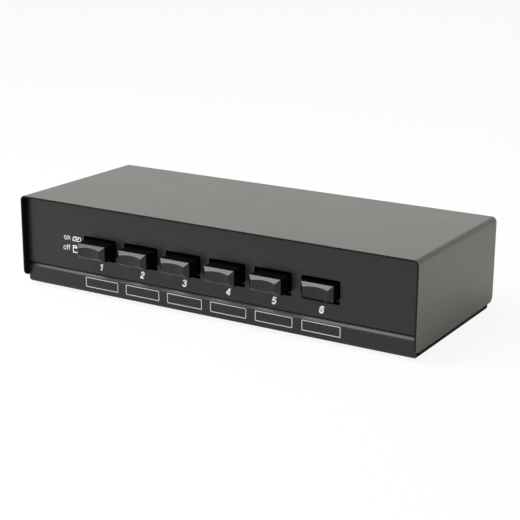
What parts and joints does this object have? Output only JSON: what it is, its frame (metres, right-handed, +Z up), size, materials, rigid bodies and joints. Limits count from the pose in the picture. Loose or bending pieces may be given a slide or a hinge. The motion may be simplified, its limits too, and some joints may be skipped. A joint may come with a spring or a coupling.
{
  "type": "speaker selector switch",
  "caption": "Flat steel-cased selector with a row of latching push buttons that switches loudspeaker pairs, spring clip terminals at the rear",
  "frame": {"origin": "centre of the bottom of the whole box, where its feet stand", "axes": "+X right seen from the front, +Y to the rear, +Z up"},
  "size_m": [0.25, 0.1122, 0.054],
  "materials": {
    "dark_paint": "semi-matt dark grey paint",
    "board": "phenolic board",
    "brass": "turned",
    "screw": "zinc plated",
    "rubber": "matt",
    "tin": "tinned",
    "switch_plastic": "moulded",
    "plunger_plastic": "moulded",
    "button_plastic": "satin black",
    "block_plastic": "moulded black",
    "lever_red": "moulded red",
    "lever_black": "moulded black"
  },
  "bodies": {
    "case": {"top_cover": "dark_paint", "chassis": "dark_paint", "circuit_board": "board", "board_pillars": "brass", "case_screws": "screw", "rubber_feet": "rubber", "solder_tags": "tin", "switch_1": "switch_plastic", "switch_2": "switch_plastic", "switch_3": "switch_plastic", "switch_4": "switch_plastic", "switch_5": "switch_plastic", "switch_6": "switch_plastic", "terminal_block_in": "block_plastic", "terminal_block_1": "block_plastic", "terminal_block_2": "block_plastic", "terminal_block_3": "block_plastic", "terminal_block_4": "block_plastic", "terminal_block_5": "block_plastic", "terminal_block_6": "block_plastic"},
    "button_1_body": {"button_1": "button_plastic", "plunger_1": "plunger_plastic"},
    "button_2_body": {"button_2": "button_plastic", "plunger_2": "plunger_plastic"},
    "button_3_body": {"button_3": "button_plastic", "plunger_3": "plunger_plastic"},
    "button_4_body": {"button_4": "button_plastic", "plunger_4": "plunger_plastic"},
    "button_5_body": {"button_5": "button_plastic", "plunger_5": "plunger_plastic"},
    "button_6_body": {"button_6": "button_plastic", "plunger_6": "plunger_plastic"},
    "lever_in_left_red_body": {"lever_in_left_red": "lever_red"},
    "lever_in_left_black_body": {"lever_in_left_black": "lever_black"},
    "lever_in_right_red_body": {"lever_in_right_red": "lever_red"},
    "lever_in_right_black_body": {"lever_in_right_black": "lever_black"},
    "lever_1_left_red_body": {"lever_1_left_red": "lever_red"},
    "lever_1_left_black_body": {"lever_1_left_black": "lever_black"},
    "lever_1_right_red_body": {"lever_1_right_red": "lever_red"},
    "lever_1_right_black_body": {"lever_1_right_black": "lever_black"},
    "lever_2_left_red_body": {"lever_2_left_red": "lever_red"},
    "lever_2_left_black_body": {"lever_2_left_black": "lever_black"},
    "lever_2_right_red_body": {"lever_2_right_red": "lever_red"},
    "lever_2_right_black_body": {"lever_2_right_black": "lever_black"},
    "lever_3_left_red_body": {"lever_3_left_red": "lever_red"},
    "lever_3_left_black_body": {"lever_3_left_black": "lever_black"},
    "lever_3_right_red_body": {"lever_3_right_red": "lever_red"},
    "lever_3_right_black_body": {"lever_3_right_black": "lever_black"},
    "lever_4_left_red_body": {"lever_4_left_red": "lever_red"},
    "lever_4_left_black_body": {"lever_4_left_black": "lever_black"},
    "lever_4_right_red_body": {"lever_4_right_red": "lever_red"},
    "lever_4_right_black_body": {"lever_4_right_black": "lever_black"},
    "lever_5_left_red_body": {"lever_5_left_red": "lever_red"},
    "lever_5_left_black_body": {"lever_5_left_black": "lever_black"},
    "lever_5_right_red_body": {"lever_5_right_red": "lever_red"},
    "lever_5_right_black_body": {"lever_5_right_black": "lever_black"},
    "lever_6_left_red_body": {"lever_6_left_red": "lever_red"},
    "lever_6_left_black_body": {"lever_6_left_black": "lever_black"},
    "lever_6_right_red_body": {"lever_6_right_red": "lever_red"},
    "lever_6_right_black_body": {"lever_6_right_black": "lever_black"}
  },
  "joints": [
    {"name": "button_1_press", "type": "slide", "parent": "case", "child": "button_1_body", "axis": [0, 1, 0], "range_m": [0, 0.0052], "stiffness_N_per_m": 300, "springref_m": -0.003},
    {"name": "button_2_press", "type": "slide", "parent": "case", "child": "button_2_body", "axis": [0, 1, 0], "range_m": [0, 0.0052], "stiffness_N_per_m": 300, "springref_m": -0.003},
    {"name": "button_3_press", "type": "slide", "parent": "case", "child": "button_3_body", "axis": [0, 1, 0], "range_m": [0, 0.0052], "stiffness_N_per_m": 300, "springref_m": -0.003},
    {"name": "button_4_press", "type": "slide", "parent": "case", "child": "button_4_body", "axis": [0, 1, 0], "range_m": [0, 0.0052], "stiffness_N_per_m": 300, "springref_m": -0.003},
    {"name": "button_5_press", "type": "slide", "parent": "case", "child": "button_5_body", "axis": [0, 1, 0], "range_m": [0, 0.0052], "stiffness_N_per_m": 300, "springref_m": -0.003},
    {"name": "button_6_press", "type": "slide", "parent": "case", "child": "button_6_body", "axis": [0, 1, 0], "range_m": [-0.0044, 0.0008], "stiffness_N_per_m": 300},
    {"name": "lever_in_left_red_press", "type": "hinge", "parent": "case", "child": "lever_in_left_red_body", "pos_m": [0.0949, 0.0459, 0.0427], "axis": [-1, 0, 0], "range_deg": [0, 15], "stiffness_Nm_per_rad": 0.06, "springref_deg": -14.32},
    {"name": "lever_in_left_black_press", "type": "hinge", "parent": "case", "child": "lever_in_left_black_body", "pos_m": [0.1061, 0.0459, 0.0427], "axis": [-1, 0, 0], "range_deg": [0, 15], "stiffness_Nm_per_rad": 0.06, "springref_deg": -14.32},
    {"name": "lever_in_right_red_press", "type": "hinge", "parent": "case", "child": "lever_in_right_red_body", "pos_m": [0.0949, 0.0459, 0.0243], "axis": [-1, 0, 0], "range_deg": [0, 15], "stiffness_Nm_per_rad": 0.06, "springref_deg": -14.32},
    {"name": "lever_in_right_black_press", "type": "hinge", "parent": "case", "child": "lever_in_right_black_body", "pos_m": [0.1061, 0.0459, 0.0243], "axis": [-1, 0, 0], "range_deg": [0, 15], "stiffness_Nm_per_rad": 0.06, "springref_deg": -14.32},
    {"name": "lever_1_left_red_press", "type": "hinge", "parent": "case", "child": "lever_1_left_red_body", "pos_m": [0.0614, 0.0459, 0.0427], "axis": [-1, 0, 0], "range_deg": [0, 15], "stiffness_Nm_per_rad": 0.06, "springref_deg": -14.32},
    {"name": "lever_1_left_black_press", "type": "hinge", "parent": "case", "child": "lever_1_left_black_body", "pos_m": [0.0726, 0.0459, 0.0427], "axis": [-1, 0, 0], "range_deg": [0, 15], "stiffness_Nm_per_rad": 0.06, "springref_deg": -14.32},
    {"name": "lever_1_right_red_press", "type": "hinge", "parent": "case", "child": "lever_1_right_red_body", "pos_m": [0.0614, 0.0459, 0.0243], "axis": [-1, 0, 0], "range_deg": [0, 15], "stiffness_Nm_per_rad": 0.06, "springref_deg": -14.32},
    {"name": "lever_1_right_black_press", "type": "hinge", "parent": "case", "child": "lever_1_right_black_body", "pos_m": [0.0726, 0.0459, 0.0243], "axis": [-1, 0, 0], "range_deg": [0, 15], "stiffness_Nm_per_rad": 0.06, "springref_deg": -14.32},
    {"name": "lever_2_left_red_press", "type": "hinge", "parent": "case", "child": "lever_2_left_red_body", "pos_m": [0.0279, 0.0459, 0.0427], "axis": [-1, 0, 0], "range_deg": [0, 15], "stiffness_Nm_per_rad": 0.06, "springref_deg": -14.32},
    {"name": "lever_2_left_black_press", "type": "hinge", "parent": "case", "child": "lever_2_left_black_body", "pos_m": [0.0391, 0.0459, 0.0427], "axis": [-1, 0, 0], "range_deg": [0, 15], "stiffness_Nm_per_rad": 0.06, "springref_deg": -14.32},
    {"name": "lever_2_right_red_press", "type": "hinge", "parent": "case", "child": "lever_2_right_red_body", "pos_m": [0.0279, 0.0459, 0.0243], "axis": [-1, 0, 0], "range_deg": [0, 15], "stiffness_Nm_per_rad": 0.06, "springref_deg": -14.32},
    {"name": "lever_2_right_black_press", "type": "hinge", "parent": "case", "child": "lever_2_right_black_body", "pos_m": [0.0391, 0.0459, 0.0243], "axis": [-1, 0, 0], "range_deg": [0, 15], "stiffness_Nm_per_rad": 0.06, "springref_deg": -14.32},
    {"name": "lever_3_left_red_press", "type": "hinge", "parent": "case", "child": "lever_3_left_red_body", "pos_m": [-0.0056, 0.0459, 0.0427], "axis": [-1, 0, 0], "range_deg": [0, 15], "stiffness_Nm_per_rad": 0.06, "springref_deg": -14.32},
    {"name": "lever_3_left_black_press", "type": "hinge", "parent": "case", "child": "lever_3_left_black_body", "pos_m": [0.0056, 0.0459, 0.0427], "axis": [-1, 0, 0], "range_deg": [0, 15], "stiffness_Nm_per_rad": 0.06, "springref_deg": -14.32},
    {"name": "lever_3_right_red_press", "type": "hinge", "parent": "case", "child": "lever_3_right_red_body", "pos_m": [-0.0056, 0.0459, 0.0243], "axis": [-1, 0, 0], "range_deg": [0, 15], "stiffness_Nm_per_rad": 0.06, "springref_deg": -14.32},
    {"name": "lever_3_right_black_press", "type": "hinge", "parent": "case", "child": "lever_3_right_black_body", "pos_m": [0.0056, 0.0459, 0.0243], "axis": [-1, 0, 0], "range_deg": [0, 15], "stiffness_Nm_per_rad": 0.06, "springref_deg": -14.32},
    {"name": "lever_4_left_red_press", "type": "hinge", "parent": "case", "child": "lever_4_left_red_body", "pos_m": [-0.0391, 0.0459, 0.0427], "axis": [-1, 0, 0], "range_deg": [0, 15], "stiffness_Nm_per_rad": 0.06, "springref_deg": -14.32},
    {"name": "lever_4_left_black_press", "type": "hinge", "parent": "case", "child": "lever_4_left_black_body", "pos_m": [-0.0279, 0.0459, 0.0427], "axis": [-1, 0, 0], "range_deg": [0, 15], "stiffness_Nm_per_rad": 0.06, "springref_deg": -14.32},
    {"name": "lever_4_right_red_press", "type": "hinge", "parent": "case", "child": "lever_4_right_red_body", "pos_m": [-0.0391, 0.0459, 0.0243], "axis": [-1, 0, 0], "range_deg": [0, 15], "stiffness_Nm_per_rad": 0.06, "springref_deg": -14.32},
    {"name": "lever_4_right_black_press", "type": "hinge", "parent": "case", "child": "lever_4_right_black_body", "pos_m": [-0.0279, 0.0459, 0.0243], "axis": [-1, 0, 0], "range_deg": [0, 15], "stiffness_Nm_per_rad": 0.06, "springref_deg": -14.32},
    {"name": "lever_5_left_red_press", "type": "hinge", "parent": "case", "child": "lever_5_left_red_body", "pos_m": [-0.0726, 0.0459, 0.0427], "axis": [-1, 0, 0], "range_deg": [0, 15], "stiffness_Nm_per_rad": 0.06, "springref_deg": -14.32},
    {"name": "lever_5_left_black_press", "type": "hinge", "parent": "case", "child": "lever_5_left_black_body", "pos_m": [-0.0614, 0.0459, 0.0427], "axis": [-1, 0, 0], "range_deg": [0, 15], "stiffness_Nm_per_rad": 0.06, "springref_deg": -14.32},
    {"name": "lever_5_right_red_press", "type": "hinge", "parent": "case", "child": "lever_5_right_red_body", "pos_m": [-0.0726, 0.0459, 0.0243], "axis": [-1, 0, 0], "range_deg": [0, 15], "stiffness_Nm_per_rad": 0.06, "springref_deg": -14.32},
    {"name": "lever_5_right_black_press", "type": "hinge", "parent": "case", "child": "lever_5_right_black_body", "pos_m": [-0.0614, 0.0459, 0.0243], "axis": [-1, 0, 0], "range_deg": [0, 15], "stiffness_Nm_per_rad": 0.06, "springref_deg": -14.32},
    {"name": "lever_6_left_red_press", "type": "hinge", "parent": "case", "child": "lever_6_left_red_body", "pos_m": [-0.1061, 0.0459, 0.0427], "axis": [-1, 0, 0], "range_deg": [0, 15], "stiffness_Nm_per_rad": 0.06, "springref_deg": -14.32},
    {"name": "lever_6_left_black_press", "type": "hinge", "parent": "case", "child": "lever_6_left_black_body", "pos_m": [-0.0949, 0.0459, 0.0427], "axis": [-1, 0, 0], "range_deg": [0, 15], "stiffness_Nm_per_rad": 0.06, "springref_deg": -14.32},
    {"name": "lever_6_right_red_press", "type": "hinge", "parent": "case", "child": "lever_6_right_red_body", "pos_m": [-0.1061, 0.0459, 0.0243], "axis": [-1, 0, 0], "range_deg": [0, 15], "stiffness_Nm_per_rad": 0.06, "springref_deg": -14.32},
    {"name": "lever_6_right_black_press", "type": "hinge", "parent": "case", "child": "lever_6_right_black_body", "pos_m": [-0.0949, 0.0459, 0.0243], "axis": [-1, 0, 0], "range_deg": [0, 15], "stiffness_Nm_per_rad": 0.06, "springref_deg": -14.32}
  ]
}
